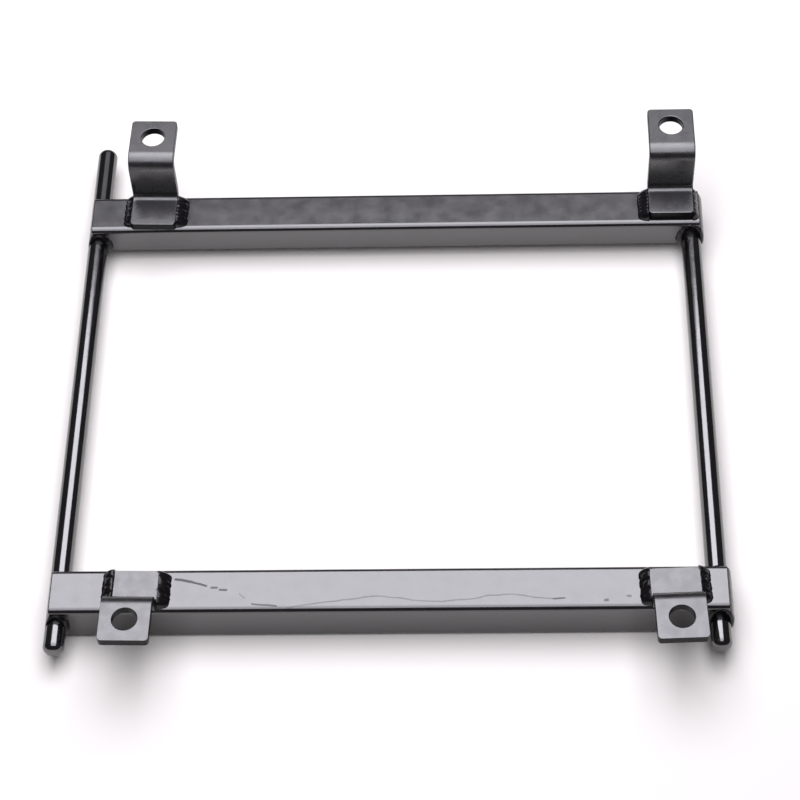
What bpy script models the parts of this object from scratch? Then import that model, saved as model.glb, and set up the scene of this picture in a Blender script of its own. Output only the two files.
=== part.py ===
"""Seat adapter bracket: a welded frame of two box-section cross bars and two round side rods.

Four joggled strap tabs with bolt holes stand on the bars and carry the seat. The rods run
through notches in the bar ends and stick out as stubs, which go into the vehicle's floor rails.
Metres, +X to the right, +Y to the rear, +Z up. The origin is the middle of the front bar's
underside, which is also the floor level.
"""

import math

import bmesh
import bpy

# Cross bars
ROD_SPACING = 0.3350        # between the two rod axes
BAR_SPACING = 0.2480        # between the bars' centre lines
BAR_DEPTH = 0.0254          # front to back, both bars
FRONT_BAR_HEIGHT = 0.0254
REAR_BAR_HEIGHT = 0.01905
BAR_WALL = 0.0020
BAR_CORNER = 0.0025         # outer corner radius of the box section
LEFT_BAR_END = 0.0025       # bar end beyond the left rod's axis
RIGHT_BAR_END = 0.0045      # bar end beyond the right rod's axis

# Side rods
ROD_DIAMETER = 0.0110
ROD_END_ROUND = 0.0042      # rounding at the rods' ends
FRONT_STUB = 0.0168         # both rods, beyond the front bar's face
LEFT_REAR_STUB = 0.0446     # beyond the rear bar's rear face
RIGHT_REAR_STUB = 0.0020

# Strap tabs
STRAP_WIDTH = 0.0254
STRAP_THICKNESS = 0.00476
STRAP_BEND = 0.0032         # inside radius of both bends
STRAP_CORNER = 0.0020       # plan radius of the strap's four corners
FRONT_STEP = 0.0080         # from the pad's top up to the flange's underside
REAR_STEP = 0.0245
BOLT_HOLE = 0.0130
HOLE_SETBACK = 0.0122       # hole centre from the flange's free end

# Each tab: which bar, which end of the bar, and its own small differences from its neighbours.
# inset: bar end to the strap's near edge. pad_setback: free end of the pad behind the bar's face.
# proud: riser's outer face beyond the bar's face. reach: flange end beyond the riser's outer face.
# turn: degrees that the tab was welded out of square, anticlockwise seen from above.
TABS = {
    "front_left": dict(bar="front", side=-1, inset=0.0301, pad_setback=0.0043, proud=0.0030, reach=0.0237,
                       turn=-1.0),
    "front_right": dict(bar="front", side=1, inset=0.0142, pad_setback=0.0050, proud=0.0030, reach=0.0245,
                        turn=2.0),
    "rear_left": dict(bar="rear", side=-1, inset=0.0229, pad_setback=0.0003, proud=0.0000, reach=0.0263,
                      turn=-1.5),
    "rear_right": dict(bar="rear", side=1, inset=0.0032, pad_setback=0.0037, proud=0.0013, reach=0.0283,
                       turn=0.0),
}

# Welds
PAD_WELD_WIDTH = 0.0058     # bead beside each pad, measured out from the strap
ROD_WELD_LEG = 0.0040       # bead round each rod
LEFT_WELD_WRAP = 0.0000     # weld standing beyond the rod on the outer side
RIGHT_WELD_WRAP = 0.0023
LEFT_WELD_RISE = 0.0040     # weld standing above the rod on the bar's end
RIGHT_WELD_RISE = 0.0064
RIPPLE_PITCH = 0.0026       # spacing of the ripples along a pad bead
RIPPLE_DEPTH = 0.05         # share of the bead's size

# Clearance that every touching pair keeps
GAP = 0.0003

# Facets
CORNER_STEPS = 5
BEND_STEPS = 7
ROUND_SIDES = 40
WELD_SIDES = 28
WELD_STEPS = 5

# Places worked out from the sizes above
ROD_RADIUS = ROD_DIAMETER / 2
BAR_TOP = FRONT_BAR_HEIGHT
BAR_BASE = {"front": 0.0, "rear": BAR_TOP - REAR_BAR_HEIGHT}
BAR_Y = {"front": 0.0, "rear": BAR_SPACING}
BAR_LENGTH = ROD_SPACING + LEFT_BAR_END + RIGHT_BAR_END
BAR_END_X = {-1: -BAR_LENGTH / 2, 1: BAR_LENGTH / 2}
ROD_X = {-1: BAR_END_X[-1] + LEFT_BAR_END, 1: BAR_END_X[1] - RIGHT_BAR_END}
ROD_Z = FRONT_BAR_HEIGHT / 2


def remove_everything():
    for item in list(bpy.data.objects):
        bpy.data.objects.remove(item, do_unlink=True)


def paint(name, colour, roughness):
    material = bpy.data.materials.new(name)
    material.use_nodes = True
    shader = material.node_tree.nodes["Principled BSDF"]
    shader.inputs["Base Color"].default_value = (*colour, 1.0)
    shader.inputs["Roughness"].default_value = roughness
    shader.inputs["Metallic"].default_value = 0.0
    return material


def new_object(name, mesh_data, material=None, smooth_angle=35.0):
    """Clean the bmesh, point its faces outward and link it as an object."""
    bmesh.ops.recalc_face_normals(mesh_data, faces=mesh_data.faces)
    mesh = bpy.data.meshes.new(name)
    mesh_data.to_mesh(mesh)
    mesh_data.free()
    item = bpy.data.objects.new(name, mesh)
    bpy.context.scene.collection.objects.link(item)
    if material:
        mesh.materials.append(material)
        mesh.shade_smooth()
        mesh.set_sharp_from_angle(angle=math.radians(smooth_angle))
    return item


def cutter(name, mesh_data):
    item = new_object(name, mesh_data)
    item.hide_render = True
    item.display_type = "WIRE"
    return item


def cut(target, tool, operation="DIFFERENCE"):
    boolean = target.modifiers.new(f"{operation.lower()} {tool.name}", "BOOLEAN")
    boolean.operation = operation
    boolean.solver = "EXACT"
    boolean.object = tool


def loft(rings):
    """Join rings of equal point counts into one closed skin."""
    data = bmesh.new()
    loops = [[data.verts.new(point) for point in ring] for ring in rings]
    count = len(loops[0])
    for first, second in zip(loops, loops[1:]):
        for i in range(count):
            j = (i + 1) % count
            data.faces.new((first[i], first[j], second[j], second[i]))
    data.faces.new(loops[0])
    data.faces.new(loops[-1])
    return data


def arc(centre_u, centre_v, radius, start, end, steps):
    """Points on an arc, angles in degrees from the first axis towards the second."""
    points = []
    for i in range(steps + 1):
        angle = math.radians(start + (end - start) * i / steps)
        points.append((centre_u + radius * math.cos(angle), centre_v + radius * math.sin(angle)))
    return points


def rounded_rectangle(depth, height, corner, base):
    """Outline in Y and Z, centred in Y and standing on base."""
    half = depth / 2 - corner
    low, high = base + corner, base + height - corner
    outline = arc(half, low, corner, -90, 0, CORNER_STEPS)
    outline += arc(half, high, corner, 0, 90, CORNER_STEPS)
    outline += arc(-half, high, corner, 90, 180, CORNER_STEPS)
    outline += arc(-half, low, corner, 180, 270, CORNER_STEPS)
    return outline


def box_section(depth, height, corner, base, centre_y, x_from, x_to):
    outline = rounded_rectangle(depth, height, corner, base)
    return loft([[(x, centre_y + y, z) for y, z in outline] for x in (x_from, x_to)])


def rod_shape(radius, axis_x, y_from, y_to, rounding=0.0):
    """A round bar along Y, its ends rounded by quarter arcs."""
    stations = [(y_from, radius - rounding)]
    if rounding:
        for i in range(1, BEND_STEPS // 2 + 2):
            angle = math.pi / 2 * i / (BEND_STEPS // 2 + 1)
            stations.append((y_from + rounding * (1 - math.cos(angle)),
                             radius - rounding * (1 - math.sin(angle))))
        stations += [(y_to - (y - y_from), r) for y, r in reversed(stations)]
    else:
        stations.append((y_to, radius))
    rings = []
    for y, ring_radius in stations:
        rings.append([(axis_x + u, y, ROD_Z + v)
                      for u, v in arc(0, 0, ring_radius, 0, 360, ROUND_SIDES)[:-1]])
    return loft(rings)


def cross_bar(name, which, material):
    """A box-section tube whose ends are notched to take the rods."""
    height = BAR_TOP - BAR_BASE[which]
    bar = new_object(name, box_section(BAR_DEPTH, height, BAR_CORNER, BAR_BASE[which], BAR_Y[which],
                                       BAR_END_X[-1], BAR_END_X[1]), material)
    inner_corner = max(BAR_CORNER - BAR_WALL, BAR_WALL / 8)
    bore = cutter(name + "_bore", box_section(
        BAR_DEPTH - 2 * BAR_WALL, height - 2 * BAR_WALL, inner_corner, BAR_BASE[which] + BAR_WALL,
        BAR_Y[which], BAR_END_X[-1] - BAR_DEPTH, BAR_END_X[1] + BAR_DEPTH))
    cut(bar, bore)
    for side in (-1, 1):
        notch = cutter(f"{name}_notch_{'left' if side < 0 else 'right'}", rod_shape(
            ROD_RADIUS + GAP, ROD_X[side], BAR_Y[which] - BAR_DEPTH, BAR_Y[which] + BAR_DEPTH))
        cut(bar, notch)
    return bar


def side_rod(name, side, rear_stub, material):
    front_end = BAR_Y["front"] - BAR_DEPTH / 2 - FRONT_STUB
    rear_end = BAR_Y["rear"] + BAR_DEPTH / 2 + rear_stub
    return new_object(name, rod_shape(ROD_RADIUS, ROD_X[side], front_end, rear_end,
                                      min(ROD_END_ROUND, ROD_RADIUS * 0.9)), material)


def tab_centre_x(tab):
    return BAR_END_X[tab["side"]] - tab["side"] * (tab["inset"] + STRAP_WIDTH / 2)


def tab_outward(tab):
    return -1 if tab["bar"] == "front" else 1


def stand_on_bar(item, tab):
    """Put a piece made round the origin on its bar's top, turned as its tab is."""
    item.location = (tab_centre_x(tab), BAR_Y[tab["bar"]], BAR_TOP + GAP)
    item.rotation_euler.z = math.radians(tab["turn"])
    return item


def strap_profile(pad_end, riser_outer, reach, step):
    """Side view of the joggled strap: pad, bend up, riser, bend out, flange.

    The first value runs outward from the bar's centre line, the second up from the pad's underside.
    """
    t = STRAP_THICKNESS
    r = min(STRAP_BEND, step * 0.45)
    rise = step + 2 * t
    inner = riser_outer - t
    flange_end = riser_outer + reach
    under = arc(inner - r, t + r, r + t, -90, 0, BEND_STEPS)
    under += arc(riser_outer + r, rise - t - r, r, 180, 90, BEND_STEPS)
    over = arc(riser_outer + r, rise - t - r, r + t, 90, 180, BEND_STEPS)
    over += arc(inner - r, t + r, r, 0, -90, BEND_STEPS)
    return [(pad_end, 0.0)] + under + [(flange_end, rise - t), (flange_end, rise)] + over + [(pad_end, t)]


def round_strap_corners(data, end_values):
    """Round the upright corner edges at both free ends of the strap."""
    corners = []
    for edge in data.edges:
        first, second = (v.co for v in edge.verts)
        upright = abs(first.z - second.z) > STRAP_THICKNESS * 0.9 and abs(first.y - second.y) < 1e-7
        at_end = any(abs(first.y - value) < 1e-6 for value in end_values)
        if upright and at_end:
            corners.append(edge)
    bmesh.ops.bevel(data, geom=corners, offset=STRAP_CORNER, segments=4, profile=0.5, affect="EDGES")


def strap_tab(name, tab, material):
    """A strap bent to its side view, with the middle of the bar's depth at its origin."""
    outward = tab_outward(tab)
    step = FRONT_STEP if tab["bar"] == "front" else REAR_STEP
    pad_end = -BAR_DEPTH / 2 + tab["pad_setback"]
    riser_outer = BAR_DEPTH / 2 + tab["proud"]
    flange_end = riser_outer + tab["reach"]
    outline = strap_profile(pad_end, riser_outer, tab["reach"], step)
    rings = [[(x, outward * u, v) for u, v in outline] for x in (-STRAP_WIDTH / 2, STRAP_WIDTH / 2)]
    data = loft(rings)
    round_strap_corners(data, [outward * pad_end, outward * flange_end])
    strap = stand_on_bar(new_object(name + "_tab", data, material), tab)
    hole_y = outward * (flange_end - HOLE_SETBACK)
    top = step + 2 * STRAP_THICKNESS
    hole_rings = [[(u, hole_y + v, z) for u, v in arc(0, 0, BOLT_HOLE / 2, 0, 360, ROUND_SIDES)[:-1]]
                  for z in (top - 2 * STRAP_THICKNESS, top + STRAP_THICKNESS)]
    cut(strap, stand_on_bar(cutter(name + "_bolt_hole", loft(hole_rings)), tab))
    return strap


def pad_weld(name, tab, side, material):
    """The bead along one side of a pad: a bulging fillet with ripples and tapered ends."""
    outward = tab_outward(tab)
    near = side * (STRAP_WIDTH / 2 + GAP)
    room = side * (BAR_END_X[side] - tab_centre_x(tab) - near)
    width = min(PAD_WELD_WIDTH, room)
    height = STRAP_THICKNESS
    start = -BAR_DEPTH / 2 + BAR_CORNER
    end = BAR_DEPTH / 2 - BAR_CORNER * 0.6
    length = end - start
    stations = max(12, round(length / RIPPLE_PITCH) * 3)
    taper = length * 0.12
    rings = []
    for i in range(stations + 1):
        along = length * i / stations
        edge = max(0.0, min(along, length - along))
        swell = 1.0 if edge >= taper else 0.35 + 0.65 * math.sqrt(1 - (1 - edge / taper) ** 2)
        ripple = 1 - RIPPLE_DEPTH * (0.5 + 0.5 * math.cos(2 * math.pi * along / RIPPLE_PITCH))
        size = swell * ripple
        y = outward * (start + along)
        ring = [(near, y, 0.0)]
        for j in range(CORNER_STEPS + 1):
            angle = math.pi / 2 * j / CORNER_STEPS
            ring.append((near + side * width * size * math.cos(angle) ** 0.85,
                         y, height * size * math.sin(angle) ** 0.85))
        rings.append(ring)
    return stand_on_bar(new_object(name, loft(rings), material, smooth_angle=50.0), tab)


def rod_weld(name, which, side, material):
    """The weld where a rod crosses a bar end: a bead round the rod on both faces of the bar.

    Its section across the rod is an ellipse that reaches a bead's leg inward, its rise upward and
    its wrap outward, and no lower than the bar's underside.
    """
    leg = ROD_WELD_LEG
    wrap = LEFT_WELD_WRAP if side < 0 else RIGHT_WELD_WRAP
    drop = min(leg, ROD_Z - ROD_RADIUS - BAR_BASE[which])
    rise = min(LEFT_WELD_RISE if side < 0 else RIGHT_WELD_RISE, BAR_TOP - ROD_Z - ROD_RADIUS - GAP)
    half = BAR_DEPTH / 2
    stations = []
    for i in range(WELD_STEPS):
        angle = math.pi / 2 * i / WELD_STEPS
        stations.append((half + leg * math.cos(angle), math.sin(angle)))
    stations += [(half, 1.0), (0.0, 1.0)]
    stations += [(-y, k) for y, k in reversed(stations[:-1])]
    rings = []
    for y, k in stations:
        inward, outward = ROD_RADIUS + leg * k, ROD_RADIUS + wrap * k
        up, down = ROD_RADIUS + rise * k, ROD_RADIUS + drop * k
        mid_x = ROD_X[side] + side * (outward - inward) / 2
        mid_z = ROD_Z + (up - down) / 2
        ring = [(mid_x + u * (inward + outward) / 2, BAR_Y[which] + y, mid_z + v * (up + down) / 2)
                for u, v in arc(0, 0, 1.0, 0, 360, WELD_SIDES)[:-1]]
        rings.append(ring)
    bead = new_object(name, loft(rings), material, smooth_angle=50.0)
    height = BAR_TOP - BAR_BASE[which]
    inner_end = BAR_END_X[side] - side * (LEFT_BAR_END + RIGHT_BAR_END + ROD_DIAMETER + 4 * leg)
    bar_space = cutter(name + "_bar_space", box_section(
        BAR_DEPTH + 2 * GAP, height + 2 * GAP, BAR_CORNER, BAR_BASE[which] - GAP, BAR_Y[which],
        inner_end, BAR_END_X[side] + side * GAP))
    rod_space = cutter(name + "_rod_space", rod_shape(
        ROD_RADIUS + GAP, ROD_X[side], BAR_Y[which] - BAR_DEPTH - leg, BAR_Y[which] + BAR_DEPTH + leg))
    cut(bead, bar_space)
    cut(bead, rod_space)
    return bead


def build():
    remove_everything()
    bar_paint = paint("bar_paint", (0.016, 0.015, 0.017), 0.24)
    rod_paint = paint("rod_paint", (0.012, 0.012, 0.014), 0.20)
    tab_paint = paint("tab_paint", (0.016, 0.015, 0.017), 0.24)
    weld_paint = paint("weld_paint", (0.010, 0.009, 0.012), 0.28)

    cross_bar("front_cross_bar", "front", bar_paint)
    cross_bar("rear_cross_bar", "rear", bar_paint)
    side_rod("left_rod", -1, LEFT_REAR_STUB, rod_paint)
    side_rod("right_rod", 1, RIGHT_REAR_STUB, rod_paint)
    for name, tab in TABS.items():
        strap_tab(name, tab, tab_paint)
        for side, word in ((-1, "left"), (1, "right")):
            pad_weld(f"{name}_tab_weld_{word}", tab, side, weld_paint)
    for which in ("front", "rear"):
        for side, word in ((-1, "left"), (1, "right")):
            rod_weld(f"{which}_{word}_rod_weld", which, side, weld_paint)


build()
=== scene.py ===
# Seat adapter bracket, dressed: tubes, rods, joggled straps and weld beads under gloss black paint
import math

import bmesh
import bpy
import numpy as np
from mathutils import Matrix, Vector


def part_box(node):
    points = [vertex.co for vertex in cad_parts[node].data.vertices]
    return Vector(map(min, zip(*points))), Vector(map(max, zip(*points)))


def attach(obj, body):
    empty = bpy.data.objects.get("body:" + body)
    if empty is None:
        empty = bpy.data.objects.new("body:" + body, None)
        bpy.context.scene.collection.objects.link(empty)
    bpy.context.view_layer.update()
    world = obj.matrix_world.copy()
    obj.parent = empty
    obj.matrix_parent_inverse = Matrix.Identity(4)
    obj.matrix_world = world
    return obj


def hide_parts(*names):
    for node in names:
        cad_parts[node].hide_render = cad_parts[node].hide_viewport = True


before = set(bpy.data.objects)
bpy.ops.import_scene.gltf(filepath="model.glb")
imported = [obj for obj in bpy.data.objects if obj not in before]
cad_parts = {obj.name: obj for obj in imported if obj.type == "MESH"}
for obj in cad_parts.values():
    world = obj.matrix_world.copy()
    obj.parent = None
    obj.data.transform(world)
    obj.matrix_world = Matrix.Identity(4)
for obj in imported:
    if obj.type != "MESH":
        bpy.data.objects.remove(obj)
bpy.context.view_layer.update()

fullTurn = 2 * math.pi
quarterTurn = math.pi / 2
weldSharpAngle = 80  # degrees; weld metal flows, so only its steepest folds look sharp


# Shared mesh tools

def gridQuads(rows, columns, closeRows=False, closeColumns=False):
    # Four neighbours of every cell of a rows by columns grid, wrapped round where it closes
    row = np.arange(rows if closeRows else rows - 1)[:, None]
    column = np.arange(columns if closeColumns else columns - 1)[None, :]
    nextRow, nextColumn = (row + 1) % rows, (column + 1) % columns
    corners = [row * columns + column, nextRow * columns + column,
               nextRow * columns + nextColumn, row * columns + nextColumn]
    return np.stack([np.broadcast_to(c, (row.size, column.size)).ravel() for c in corners], axis=1)


def addPiece(name, points, quads, paint, nodes, sharpAngle=50):
    # Points and quads become a mesh; doubled points at seams and poles merge, faces turn outwards
    mesh = bpy.data.meshes.new(name)
    mesh.from_pydata(points.reshape(-1, 3).tolist(), [], quads.tolist())
    data = bmesh.new()
    data.from_mesh(mesh)
    bmesh.ops.remove_doubles(data, verts=data.verts, dist=1e-6)  # metres
    bmesh.ops.recalc_face_normals(data, faces=data.faces)
    data.to_mesh(mesh)
    data.free()
    mesh.materials.append(paint)
    mesh.shade_smooth()
    mesh.set_sharp_from_angle(angle=math.radians(sharpAngle))
    piece = bpy.data.objects.new(name, mesh)
    bpy.context.scene.collection.objects.link(piece)
    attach(piece, "root")
    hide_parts(*nodes)
    return piece


def pieceNameOf(node):
    # front_left_tab becomes FrontLeftTab
    return node.replace("_", " ").title().replace(" ", "")


def lumps(first, second, seed, waves=6):
    # Uneven surface: a sum of cosine waves over two parameters, from -1 to 1, the same each run
    random = np.random.default_rng(seed)
    strengths = np.linspace(1.0, 0.4, waves)
    total = 0.0
    for strength in strengths:
        a, b = random.integers(1, 6, 2)
        total = total + strength * np.cos(a * first + b * second + random.uniform(0, fullTurn))
    return total / strengths.sum()


# Paint

def addNode(tree, kind, **settings):
    node = tree.nodes.new(kind)
    for key, value in settings.items():
        setattr(node, key, value)
    return node


def noise(tree, place, scale, detail, low, high):
    # Noise on object coordinates; its middle two fifths are spread from low to high
    cloud = addNode(tree, "ShaderNodeTexNoise")
    cloud.inputs["Scale"].default_value = scale
    cloud.inputs["Detail"].default_value = detail
    tree.links.new(place, cloud.inputs["Vector"])
    spread = addNode(tree, "ShaderNodeMapRange", clamp=True)
    spread.inputs["From Min"].default_value = 0.3
    spread.inputs["From Max"].default_value = 0.7
    spread.inputs["To Min"].default_value = low
    spread.inputs["To Max"].default_value = high
    tree.links.new(cloud.outputs["Fac"], spread.inputs["Value"])
    return spread.outputs["Result"]


def mathNode(tree, operation, *values):
    # One sum, product or comparison; each value is a number or another node's output
    node = addNode(tree, "ShaderNodeMath", operation=operation)
    for socket, value in zip(node.inputs, values):
        if isinstance(value, (int, float)):
            socket.default_value = value
        else:
            tree.links.new(value, socket)
    return node.outputs["Value"]


def makePaint(name, look):
    # Gloss paint: cloudy colour and roughness, with a fine orange peel in the bump
    material = bpy.data.materials.new(name)
    material.use_nodes = True
    tree = material.node_tree
    shader = tree.nodes["Principled BSDF"]
    place = addNode(tree, "ShaderNodeTexCoord").outputs["Object"]
    cloud = noise(tree, place, look["cloudScale"], 3.0, 0.0, 1.0)
    blend = addNode(tree, "ShaderNodeMix", data_type="RGBA")
    blend.inputs["A"].default_value = (*look["dark"], 1)
    blend.inputs["B"].default_value = (*look["light"], 1)
    tree.links.new(cloud, blend.inputs["Factor"])
    tree.links.new(blend.outputs["Result"], shader.inputs["Base Color"])
    rough = noise(tree, place, look["roughScale"], 4.0, look["smoothest"], look["roughest"])
    tree.links.new(rough, shader.inputs["Roughness"])
    shader.inputs["IOR"].default_value = look["gloss"]
    peel = noise(tree, place, look["peelScale"], 2.0, 0.0, 1.0)
    bump = addNode(tree, "ShaderNodeBump")
    bump.inputs["Strength"].default_value = look["peelStrength"]
    bump.inputs["Distance"].default_value = look["peelHeight"]
    tree.links.new(peel, bump.inputs["Height"])
    tree.links.new(bump.outputs["Normal"], shader.inputs["Normal"])
    return material, tree, shader, place, rough


paintLook = {
    "bar": dict(dark=(0.0055, 0.0045, 0.0060), light=(0.0095, 0.0080, 0.0100), cloudScale=45,
                smoothest=0.13, roughest=0.22, roughScale=120, gloss=1.97,
                peelScale=700, peelStrength=0.25, peelHeight=0.00002),
    # The rods' colours are the bars' black made darker, as painted shade on the rods
    "rod": dict(dark=(0.0020, 0.0016, 0.0022), light=(0.0040, 0.0034, 0.0043), cloudScale=60,
                smoothest=0.09, roughest=0.16, roughScale=150, gloss=2.18,
                peelScale=800, peelStrength=0.25, peelHeight=0.00002),
    "tab": dict(dark=(0.0055, 0.0045, 0.0060), light=(0.0095, 0.0080, 0.0100), cloudScale=70,
                smoothest=0.24, roughest=0.34, roughScale=160, gloss=1.97,
                peelScale=750, peelStrength=0.25, peelHeight=0.00002),
    "weld": dict(dark=(0.0030, 0.0025, 0.0034), light=(0.0060, 0.0050, 0.0064), cloudScale=300,
                 smoothest=0.16, roughest=0.30, roughScale=500, gloss=1.42,
                 peelScale=1200, peelStrength=0.2, peelHeight=0.00003),
    "edge": dict(dark=(0.0030, 0.0026, 0.0034), light=(0.0060, 0.0052, 0.0064), cloudScale=200,
                 smoothest=0.25, roughest=0.40, roughScale=400, gloss=1.22,
                 peelScale=900, peelStrength=0.3, peelHeight=0.00003),
}

# Marks on the front bar's top. Each dash, in millimetres: where it starts and ends, its half
# width, and how strong it is, from 0 to 1
markLook = dict(top=0.0249, rear=0.05, soft=0.00025, rough=0.62, waver=0.0012, waverScale=160)
darkDashes = [
    ((-107.3, 6.1), (-99.5, 4.6), 0.70, 1.0), ((-99.5, 4.6), (-91.8, 2.1), 0.55, 1.0),
    ((-89.2, 0.9), (-86.2, 0.9), 0.50, 0.9), ((-84.6, -0.3), (-81.3, -0.3), 0.50, 0.9),
    ((-74.8, -2.7), (-72.2, -5.1), 0.35, 0.4), ((-68.0, -8.6), (-55.9, -9.9), 0.45, 0.85),
    ((83.0, -6.7), (88.8, -6.5), 0.40, 0.9), ((109.0, -7.9), (110.0, -7.8), 0.75, 0.7),
    ((120.4, -5.6), (121.4, -5.6), 0.75, 0.6),
]
wavyLine = [(-51.0, -11.4), (-47.8, -10.3), (-27.3, -7.4), (-7.3, -4.5), (6.3, -5.8), (12.8, -7.3),
            (25.4, -8.1), (41.9, -6.7), (50.4, -4.8), (62.8, -4.0), (75.1, -6.4), (83.4, -6.7)]
wavyWidth, wavyStrength = 0.34, 0.55


def dashMask(tree, place, start, end, halfWide, strength, look):
    # 1 along a short line: the place is turned into the line's own frame, where it lies along X
    # from nought to its length, and fades over a soft rim on every side
    start, end = np.array(start) / 1000, np.array(end) / 1000
    length, halfWide = float(np.hypot(*(end - start))), halfWide / 1000
    frameNode = addNode(tree, "ShaderNodeMapping", vector_type="TEXTURE")
    frameNode.inputs["Location"].default_value = (*start, 0)
    frameNode.inputs["Rotation"].default_value = (0, 0, math.atan2(*(end - start)[::-1]))
    tree.links.new(place, frameNode.inputs["Vector"])
    parts = addNode(tree, "ShaderNodeSeparateXYZ")
    tree.links.new(frameNode.outputs["Vector"], parts.inputs["Vector"])
    middle = mathNode(tree, "ABSOLUTE", mathNode(tree, "SUBTRACT", parts.outputs["X"], length / 2))
    beyond = mathNode(tree, "MAXIMUM", mathNode(tree, "SUBTRACT", middle, length / 2), 0.0)
    along2 = mathNode(tree, "MULTIPLY", beyond, beyond)
    across2 = mathNode(tree, "MULTIPLY", parts.outputs["Y"], parts.outputs["Y"])
    away = mathNode(tree, "SQRT", mathNode(tree, "ADD", along2, across2))
    rim = addNode(tree, "ShaderNodeMapRange", interpolation_type="SMOOTHSTEP", clamp=True)
    rim.inputs["From Min"].default_value = halfWide - look["soft"] / 2
    rim.inputs["From Max"].default_value = halfWide + look["soft"]
    rim.inputs["To Min"].default_value = strength
    rim.inputs["To Max"].default_value = 0.0
    tree.links.new(away, rim.inputs["Value"])
    return rim.outputs["Result"]


def addMarks(tree, shader, place, rough, look):
    # All dashes together, wavering a little, on the bar's top only; marked paint is dull
    cloud = addNode(tree, "ShaderNodeTexNoise")
    cloud.inputs["Scale"].default_value = look["waverScale"]
    tree.links.new(place, cloud.inputs["Vector"])
    shift = addNode(tree, "ShaderNodeVectorMath", operation="MULTIPLY_ADD")
    tree.links.new(cloud.outputs["Color"], shift.inputs[0])
    shift.inputs[1].default_value = (look["waver"],) * 3
    shift.inputs[2].default_value = (-look["waver"] / 2,) * 3
    wavering = addNode(tree, "ShaderNodeVectorMath", operation="ADD")
    tree.links.new(place, wavering.inputs[0])
    tree.links.new(shift.outputs["Vector"], wavering.inputs[1])
    dashes = darkDashes + [(a, b, wavyWidth, wavyStrength) for a, b in zip(wavyLine, wavyLine[1:])]
    total = 0.0
    for start, end, halfWide, strength in dashes:
        dash = dashMask(tree, wavering.outputs["Vector"], start, end, halfWide, strength, look)
        total = mathNode(tree, "MAXIMUM", dash, total)
    parts = addNode(tree, "ShaderNodeSeparateXYZ")
    tree.links.new(place, parts.inputs["Vector"])
    onTop = mathNode(tree, "GREATER_THAN", parts.outputs["Z"], look["top"])
    inFront = mathNode(tree, "LESS_THAN", parts.outputs["Y"], look["rear"])
    mask = mathNode(tree, "MULTIPLY", total, mathNode(tree, "MULTIPLY", onTop, inFront))
    duller = addNode(tree, "ShaderNodeMix", data_type="FLOAT")
    tree.links.new(mask, duller.inputs["Factor"])
    tree.links.new(rough, duller.inputs["A"])
    duller.inputs["B"].default_value = look["rough"]
    tree.links.new(duller.outputs["Result"], shader.inputs["Roughness"])


barPaint, barTree, barShader, barPlace, barRough = makePaint("bar gloss black", paintLook["bar"])
addMarks(barTree, barShader, barPlace, barRough, markLook)
# The rods' paint is the bars' gloss black with a darker base colour, which is painted shade
rodShadedPaint = makePaint("rod gloss black with painted shade", paintLook["rod"])[0]
tabPaint = makePaint("strap gloss black", paintLook["tab"])[0]
weldPaint = makePaint("weld gloss black", paintLook["weld"])[0]
edgePaint = makePaint("sheared edge black", paintLook["edge"])[0]
print("paints ready")


# Cross bars

# Lead is how far a face stays flat beside its rounded corners and ends, to keep its shading flat
barShape = dict(wall=0.0020, corner=0.0031, innerCorner=0.0004, cornerSteps=14, edgeRound=0.0004,
                edgeSteps=4, lead=0.0003)


def barSurface(low, high, shape):
    # A tube wall as one closed ring surface: a rounded rectangle whose four quarter arcs join
    # straight sides, inset by d and standing at x, where (x, d) runs along the outside, round the
    # cut end, back along the bore and round the other end
    arc = np.linspace(0, quarterTurn, shape["edgeSteps"] + 1)
    edge, wall, length = shape["edgeRound"], shape["wall"], (high[0] - low[0]) / 2
    outerX, outerD = length - edge * (1 - np.sin(arc)), edge * (1 - np.cos(arc))
    innerX, innerD = length - edge * (1 - np.cos(arc)), wall - edge * (1 - np.sin(arc))
    flatTo = [length - edge - shape["lead"]]
    x = np.concatenate([flatTo, outerX, innerX, flatTo])
    d = np.concatenate([[0.0], outerD, innerD, [wall]])
    x, d = np.concatenate([x, -x[::-1]]), np.concatenate([d, d[::-1]])
    x, d = x[:, None, None], d[:, None, None]
    turn = np.linspace(0, quarterTurn, shape["cornerSteps"] + 1)
    turn = np.concatenate([[0], turn, [quarterTurn]])
    lead = np.zeros(turn.size)
    lead[0], lead[-1] = -shape["lead"], shape["lead"]
    turn = turn[None, None, :] + quarterTurn * np.arange(4)[None, :, None]
    halfY, halfZ = (high[1] - low[1]) / 2 - d, (high[2] - low[2]) / 2 - d
    corner = np.maximum(shape["corner"] - d, shape["innerCorner"])
    signY, signZ = np.array([1, -1, -1, 1])[None, :, None], np.array([1, 1, -1, -1])[None, :, None]
    y = signY * (halfY - corner) + corner * np.cos(turn) - lead * np.sin(turn)
    z = signZ * (halfZ - corner) + corner * np.sin(turn) + lead * np.cos(turn)
    middle = (low + high) / 2
    points = np.stack(np.broadcast_arrays(middle[0] + x, middle[1] + y, middle[2] + z), axis=-1)
    return points.reshape(points.shape[0], -1, 3)


def nodeBox(name):
    low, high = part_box(name)
    return np.array(low), np.array(high)


for pieceName, node in (("frontCrossBar", "front_cross_bar"), ("rearCrossBar", "rear_cross_bar")):
    low, high = nodeBox(node)
    surface = barSurface(low, high, barShape)
    quads = gridQuads(*surface.shape[:2], True, True)
    addPiece(pieceName, surface, quads, barPaint, [node])
print("cross bars made")


# Side rods

rodShape = dict(endRound=0.0042, endLead=1.3, endSteps=14, sides=96)  # the lead, in end rounds


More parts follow.
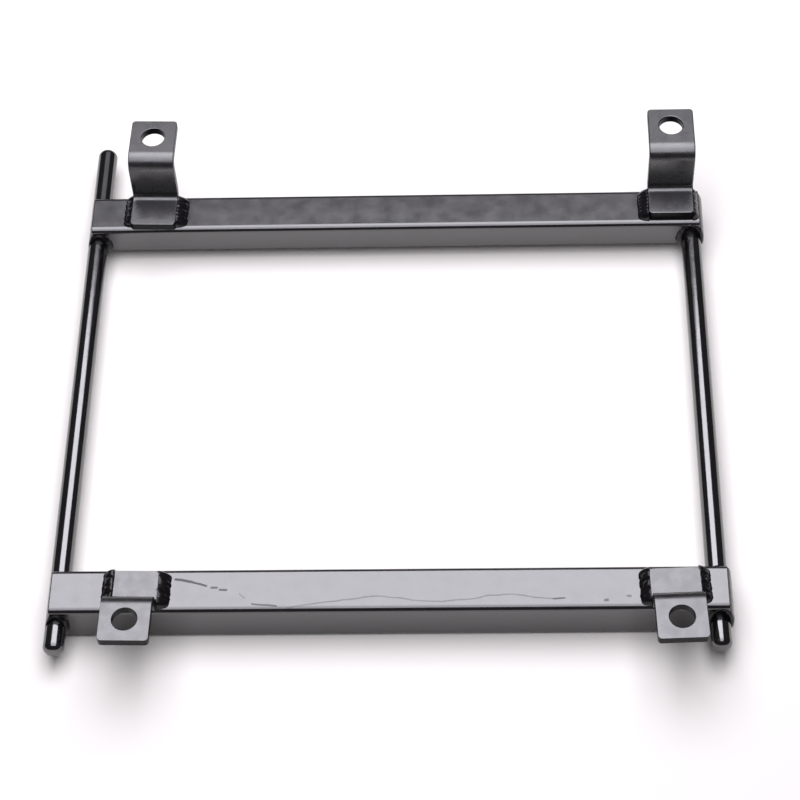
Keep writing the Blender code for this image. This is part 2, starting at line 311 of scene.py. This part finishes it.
def rodSurface(low, high, shape):
    # A turned bar: the radius grows from nothing over a flat end and a quarter arc, stays, and
    # closes again, while the angle goes round the axis
    radius = (high[0] - low[0]) / 2
    arc = np.linspace(0, quarterTurn, shape["endSteps"] + 1)
    endRound = shape["endRound"]
    off = np.concatenate([[0.0], endRound * (1 - np.cos(arc)), [endRound * shape["endLead"]]])
    reach = np.concatenate([[0.0], radius - endRound * (1 - np.sin(arc)), [radius]])
    y = np.concatenate([low[1] + off, high[1] - off[::-1]])[:, None]
    r = np.concatenate([reach, reach[::-1]])[:, None]
    angle = np.linspace(0, fullTurn, shape["sides"], endpoint=False)[None, :]
    middle = (low + high) / 2
    x, z = middle[0] + r * np.cos(angle), middle[2] + r * np.sin(angle)
    return np.stack(np.broadcast_arrays(x, y, z), axis=-1)


for pieceName, node in (("leftRod", "left_rod"), ("rightRod", "right_rod")):
    surface = rodSurface(*nodeBox(node), rodShape)
    quads = gridQuads(*surface.shape[:2], False, True)
    addPiece(pieceName, surface, quads, rodShadedPaint, [node])
print("rods made")


# Strap tabs

strapShape = dict(width=0.0254, thickness=0.00476, bend=0.0032, corner=0.0020, cornerSteps=6, hole=0.0130,
                  holeSetback=0.0122, edgeRound=0.00070, edgeSteps=4, bendSteps=14, holeSides=96,
                  lead=0.0006, endReach=0.0050)
# Each strap: which way its flange points, how far its riser stands past the bar's face, its turn
strapPlaces = {
    "front_left": dict(bar="front_cross_bar", outward=-1, proud=0.0030, turn=-1.0),
    "front_right": dict(bar="front_cross_bar", outward=-1, proud=0.0030, turn=2.0),
    "rear_left": dict(bar="rear_cross_bar", outward=1, proud=0.0000, turn=-1.5),
    "rear_right": dict(bar="rear_cross_bar", outward=1, proud=0.0013, turn=0.0),
}


def strapFrame(name, place, shape):
    # Where the strap stands and the lengths of its middle line: pad, bend, riser, bend, flange.
    # The box of a turned strap is its length times the cosine plus its width times the sine
    low, high = nodeBox(name + "_tab")
    barLow, barHigh = nodeBox(place["bar"])
    outward, t, turn = place["outward"], shape["thickness"], math.radians(place["turn"])
    round2 = 2 * shape["corner"]
    sideways = (shape["width"] - round2) * abs(math.sin(turn))
    length = (high[1] - low[1] - round2 - sideways) / math.cos(turn) + round2
    barMiddle = (barLow[1] + barHigh[1]) / 2
    middle = abs((low[1] + high[1]) / 2 - barMiddle) / math.cos(turn)
    riserOut = (barHigh[1] - barLow[1]) / 2 + place["proud"]
    middleBend = shape["bend"] + t / 2
    return dict(
        pivot=((low[0] + high[0]) / 2 + outward * middle * math.sin(turn), barMiddle), turn=turn,
        outward=outward, width=shape["width"], base=low[2], thickness=t, start=middle - length / 2,
        bend=middleBend, arc=middleBend * quarterTurn,
        pad=riserOut - t - shape["bend"] - (middle - length / 2),
        riser=high[2] - low[2] - 2 * t - 2 * shape["bend"],
        flange=middle + length / 2 - riserOut - shape["bend"])


def standOnBar(across, out, up, path):
    # Turn a point about the pad's middle, seen from above, and carry it to its place on the bar
    side, cosine, sine = path["outward"] * out, math.cos(path["turn"]), math.sin(path["turn"])
    return np.stack(np.broadcast_arrays(path["pivot"][0] + across * cosine - side * sine,
                                        path["pivot"][1] + across * sine + side * cosine,
                                        path["base"] + up), axis=-1)


def strapPlace(path, along, across):
    # Each stretch adds its own share of the way out and up: straight ones by length, bends by
    # radius times sine or one minus cosine of the angle turned so far
    arc, bend = path["arc"], path["bend"]
    pad = np.clip(along, 0, path["pad"])
    first = np.clip(along - path["pad"], 0, arc) / bend
    riser = np.clip(along - path["pad"] - arc, 0, path["riser"])
    second = np.clip(along - path["pad"] - arc - path["riser"], 0, arc) / bend
    flange = np.clip(along - path["pad"] - 2 * arc - path["riser"], 0, None)
    out = pad + bend * np.sin(first) + bend * (1 - np.cos(second)) + flange
    up = bend * (1 - np.cos(first)) + riser + bend * np.sin(second)
    return standOnBar(across, path["start"] + out, path["thickness"] / 2 + up, path)


def strapBlank(path, shape):
    # The flat strap in two patches: round the hole, rays from the rim to the flange's outline,
    # and behind them, straight rows over the bends to the pad's rounded end
    half, corner = path["width"] / 2, shape["corner"]
    total = path["pad"] + 2 * path["arc"] + path["riser"] + path["flange"]
    seam = total - path["flange"] + shape["lead"]
    holeAt = total - shape["holeSetback"]
    count = shape["holeSides"] // 4
    rows = np.linspace(-half, half, count + 1)
    arc = np.linspace(0, quarterTurn, shape["cornerSteps"] + 1)
    free = np.linspace(-half + corner, half - corner, count + 1)[1:-1]
    side = np.linspace(seam, total - corner, count)[1:-1]
    outlineS = np.concatenate([
        np.full(rows.size, seam), side, total - corner + corner * np.sin(arc), np.full(free.size, total),
        total - corner + corner * np.cos(arc), side[::-1]])
    outlineW = np.concatenate([
        rows, np.full(side.size, half), half - corner + corner * np.cos(arc), free[::-1],
        -half + corner - corner * np.sin(arc), np.full(side.size, -half)])
    away = np.hypot(outlineS - holeAt, outlineW)
    rim = shape["hole"] / 2
    share = np.array([0.0, 0.12, 0.4, 0.7, 1.0])[:, None]  # rings from the rim to the outline
    ring = rim + (away - rim) * share
    patchS = holeAt + (outlineS - holeAt) / away * ring
    patchW = outlineW / away * ring
    bendA = path["pad"] + np.linspace(0, path["arc"], shape["bendSteps"] + 1)
    bendB = bendA + path["arc"] + path["riser"]
    stations = np.concatenate([np.linspace(0, path["pad"] - shape["lead"], 6), bendA, bendB, [seam]])
    fromEnd = np.maximum(np.abs(rows) - (half - corner), 0)
    endCut = corner - np.sqrt(corner ** 2 - fromEnd ** 2)
    share = np.clip(1 - stations / shape["endReach"], 0, 1)[:, None]
    rowS = stations[:, None] + endCut[None, :] * share
    rowW = np.broadcast_to(rows[None, :], rowS.shape)
    return (patchS, patchW), (rowS, rowW)


strapFrames = {name: strapFrame(name, place, strapShape) for name, place in strapPlaces.items()}
for name, path in strapFrames.items():
    (patchS, patchW), (rowS, rowW) = strapBlank(path, strapShape)
    points = np.concatenate([strapPlace(path, patchS, patchW).reshape(-1, 3),
                             strapPlace(path, rowS, rowW).reshape(-1, 3)])
    quads = np.concatenate([gridQuads(*patchS.shape, False, True),
                            gridQuads(*rowS.shape) + patchS.size])
    piece = addPiece(pieceNameOf(name + "_tab"), points, quads, tabPaint, [name + "_tab"])
    piece.data.materials.append(edgePaint)
    wall = piece.modifiers.new("thickness", "SOLIDIFY")
    wall.thickness, wall.offset, wall.use_even_offset = strapShape["thickness"], 0.0, True
    wall.material_offset_rim = 1  # the sheared edge is duller than the rolled faces
    edges = piece.modifiers.new("rounded edges", "BEVEL")
    edges.width, edges.segments = strapShape["edgeRound"], strapShape["edgeSteps"]
    edges.limit_method, edges.angle_limit = "ANGLE", math.radians(50)
    edges.harden_normals = True
print("strap tabs made")


# Weld beads beside the pads

# A bead that laps over the strap's edge by more than liftFrom is higher by the lift
beadShape = dict(height=0.0047, lift=0.0016, liftFrom=0.001, sunk=0.0012, fullness=1.30, lapFullness=200,
                 pitch=0.0026, ripple=0.014, lump=0.07, around=28, along=120, taper=0.16, chevron=0.9,
                 rearInset=0.0022, frontInset=0.0015)
# Each bead: width on the bar, and how far it laps over the strap's edge
beadPlaces = {
    "front_left": dict(left=(0.0036, 0.0024), right=(0.0060, 0.0004)),
    "front_right": dict(left=(0.0051, 0.0000), right=(0.0056, 0.0002)),
    "rear_left": dict(left=(0.0046, 0.0004), right=(0.0062, 0.0002)),
    "rear_right": dict(left=(0.0058, 0.0000), right=(0.0027, 0.0004)),
}


def beadSurface(path, barHalf, side, width, lap, shape, seed):
    # A closed bead. Round its section it follows a curve between a straight fillet and an
    # ellipse, |x/width|^n + |z/height|^n = 1, but is only a little thick where it is sunk in the
    # steel. Ripples follow a cosine along the bead, later at its foot than at its crest, and both
    # ends close in a quarter ellipse
    share = np.linspace(0, 1, shape["along"])[:, None]
    angle = np.linspace(0, fullTurn, shape["around"], endpoint=False)[None, :]
    start, end = -barHalf + shape["rearInset"], barHalf - shape["frontInset"]
    edge = np.minimum(share, 1 - share) / shape["taper"]
    swell = np.sqrt(np.clip(1 - (1 - np.clip(edge, 0, 1)) ** 2, 0, 1))
    lag = shape["chevron"] * np.cos(2 * (angle - quarterTurn / 2))
    ripple = shape["ripple"] * np.cos(fullTurn * share * (end - start) / shape["pitch"] + lag)
    uneven = shape["lump"] * lumps(share * fullTurn, angle, seed)
    size = swell * (1 + ripple + uneven - shape["ripple"])
    fullness = shape["fullness"] + shape["lapFullness"] * lap
    out = np.sign(np.cos(angle)) * np.abs(np.cos(angle)) ** (2 / fullness)
    up = np.sign(np.sin(angle)) * np.abs(np.sin(angle)) ** (2 / fullness)
    height = shape["height"] + (shape["lift"] if lap > shape["liftFrom"] else 0.0)
    across = np.where(out > 0, (width + lap) * size, shape["sunk"] * swell) * out - lap
    rise = np.where(up > 0, height * size, shape["sunk"] * swell) * up
    return standOnBar(side * (path["width"] / 2 + across), start + (end - start) * share, rise, path)


for number, (name, sides) in enumerate(beadPlaces.items()):
    barLow, barHigh = nodeBox(strapPlaces[name]["bar"])
    for side, word in ((-1, "left"), (1, "right")):
        node = f"{name}_tab_weld_{word}"
        surface = beadSurface(strapFrames[name], (barHigh[1] - barLow[1]) / 2, side, *sides[word],
                              beadShape, seed=10 * number + side + 1)
        quads = gridQuads(*surface.shape[:2], False, True)
        addPiece(pieceNameOf(node), surface, quads, weldPaint, [node], weldSharpAngle)
print("pad beads made")


# Welds round the rods

# Leg is how far the weld runs along the rod, crown the share of it that is left on the rod's
# crown, and grip the share of the rod's radius where the weld's feet end
sleeveShape = dict(leg=0.0034, crown=0.22, crownPower=1.5, grip=0.98, lump=0.22, around=96, along=20,
                   ripple=0.04, ripples=13)
# How much of the room beside the rod each weld fills, inwards and outwards
sleevePlaces = {
    "front_left": dict(inward=0.45, outward=1.0), "front_right": dict(inward=0.45, outward=1.0),
    "rear_left": dict(inward=0.90, outward=1.0), "rear_right": dict(inward=0.90, outward=1.0),
}


def sleeveSurface(low, high, rodLow, rodHigh, barLow, barHigh, side, fill, shape, seed):
    # A sleeve round the rod, carried through the bar's end. Across the rod it is an ellipse of
    # the node's box; along the rod it swells over each face of the bar by a quarter ellipse,
    # which is short over the rod's crown and long at its sides
    radius = (rodHigh[0] - rodLow[0]) / 2
    rodX, rodZ = (rodLow[0] + rodHigh[0]) / 2, (rodLow[2] + rodHigh[2]) / 2
    half, middleY = (barHigh[1] - barLow[1]) / 2, (barLow[1] + barHigh[1]) / 2
    arc = np.linspace(0, quarterTurn, shape["along"])
    reach, swell = shape["leg"] * np.cos(arc), np.sin(arc)
    angle = np.linspace(0, fullTurn, shape["around"], endpoint=False)[None, :]
    cosine, sine = np.cos(angle), np.sin(angle)
    crown = np.clip(sine, 0, 1) ** shape["crownPower"]
    spread = 1 - (1 - shape["crown"]) * crown
    y = np.concatenate([half + reach[:, None] * spread, -half - reach[::-1][:, None] * spread])
    swell = np.concatenate([swell, swell[::-1]])[:, None]
    inward, outward = fill["inward"], fill["outward"]
    rightFill, leftFill = (outward, inward) if side > 0 else (inward, outward)
    reachX = np.where(cosine > 0, (high[0] - rodX - radius) * rightFill,
                      (rodX - low[0] - radius) * leftFill)
    reachZ = np.where(sine > 0, high[2] - rodZ, rodZ - low[2]) - radius
    uneven = 1 - shape["lump"] * (0.5 + 0.5 * lumps(angle, y / half * 2, seed))
    uneven = uneven - shape["ripple"] * (0.5 + 0.5 * np.cos(shape["ripples"] * angle))
    across = (radius * shape["grip"] + reachX * swell * uneven) * cosine
    rise = (radius * shape["grip"] + reachZ * swell * uneven) * sine
    return np.stack(np.broadcast_arrays(rodX + across, middleY + y, rodZ + rise), axis=-1)


for seed, (place, fill) in enumerate(sleevePlaces.items()):
    bar, rod = place.split("_")
    node = place + "_rod_weld"
    surface = sleeveSurface(*nodeBox(node), *nodeBox(rod + "_rod"), *nodeBox(bar + "_cross_bar"),
                            1 if rod == "right" else -1, fill, sleeveShape, seed)
    quads = gridQuads(*surface.shape[:2], False, True)
    addPiece(pieceNameOf(node), surface, quads, weldPaint, [node], weldSharpAngle)
print("rod welds made")


# Floor

floorLook = dict(colour=(0.92, 0.90, 0.855), halfX=0.75, front=-0.60, rear=0.90)


def makeFloor(look):
    # A plain white sheet, large enough to fill the picture; past it the room is dim
    half, front, rear = look["halfX"], look["front"], look["rear"]
    mesh = bpy.data.meshes.new("floor")
    corners = [(-half, front, 0), (half, front, 0), (half, rear, 0), (-half, rear, 0)]
    mesh.from_pydata(corners, [], [(0, 1, 2, 3)])
    floor = bpy.data.objects.new("floor", mesh)
    bpy.context.scene.collection.objects.link(floor)
    material = bpy.data.materials.new("white sheet")
    material.use_nodes = True
    tree = material.node_tree
    tree.nodes.clear()
    sheet = addNode(tree, "ShaderNodeBsdfDiffuse")
    sheet.inputs["Color"].default_value = (*look["colour"], 1)
    output = addNode(tree, "ShaderNodeOutputMaterial")
    tree.links.new(sheet.outputs["BSDF"], output.inputs["Surface"])
    mesh.materials.append(material)


makeFloor(floorLook)


# Studio light: soft panels a metre above the floor, in a dim room

panelLight = dict(height=1.0, middleX=-0.03, halfWide=0.48, tint=(0.94, 0.925, 1.0))
# Each panel: where its front and rear edges are, and how many times as bright as white it is
panels = {"main": (0.30, 0.96, 5.2), "overhead": (0.04, 0.30, 4.2), "ahead": (-0.60, 0.04, 3.1),
          "behind": (0.96, 1.60, 0.60)}
roomLook = dict(strength=0.06, tint=(1.0, 0.98, 1.0))


def makePanel(name, front, rear, bright, look):
    # A rectangle that shines down; its power is its brightness times pi times its area
    lamp = bpy.data.lights.new(name, "AREA")
    lamp.shape, lamp.size, lamp.size_y = "RECTANGLE", 2 * look["halfWide"], rear - front
    lamp.energy = bright * math.pi * lamp.size * lamp.size_y
    lamp.color = look["tint"]
    panel = bpy.data.objects.new(name, lamp)
    panel.location = (look["middleX"], (front + rear) / 2, look["height"])
    panel.visible_camera = False
    bpy.context.scene.collection.objects.link(panel)


def makeRoom(look):
    # The same dim light from all round
    world = bpy.data.worlds.new("studio")
    bpy.context.scene.world = world
    world.use_nodes = True
    room = world.node_tree.nodes["Background"]
    room.inputs["Color"].default_value = (*look["tint"], 1)
    room.inputs["Strength"].default_value = look["strength"]


for name, (front, rear, bright) in panels.items():
    makePanel(name + " panel", front, rear, bright, panelLight)
makeRoom(roomLook)
bpy.context.scene.view_settings.view_transform = "Standard"
print("floor and light ready")


# Camera

cameraSet = dict(place=(0.05093, -0.61656, 1.04874), yaw=-0.0629, down=0.9484, roll=-0.0619,
                 lens=106.66, sensor=36.0)


def makeCamera(settings):
    # The view direction comes from yaw and downward pitch, then the picture rolls about it
    yaw, down, roll = settings["yaw"], settings["down"], settings["roll"]
    forward = np.array([math.sin(yaw) * math.cos(down), math.cos(yaw) * math.cos(down), -math.sin(down)])
    right = np.array([math.cos(yaw), -math.sin(yaw), 0.0])
    up = np.cross(right, forward)
    rolledRight = math.cos(roll) * right + math.sin(roll) * up
    rolledUp = -math.sin(roll) * right + math.cos(roll) * up
    camera = bpy.data.objects.new("camera", bpy.data.cameras.new("camera"))
    bpy.context.scene.collection.objects.link(camera)
    matrix = np.eye(4)
    matrix[:3, :3] = np.stack([rolledRight, rolledUp, -forward], axis=1)
    matrix[:3, 3] = settings["place"]
    camera.matrix_world = Matrix(matrix.tolist())
    camera.data.sensor_width = settings["sensor"]
    camera.data.lens = settings["lens"]
    bpy.context.scene.camera = camera


makeCamera(cameraSet)
print("camera placed")
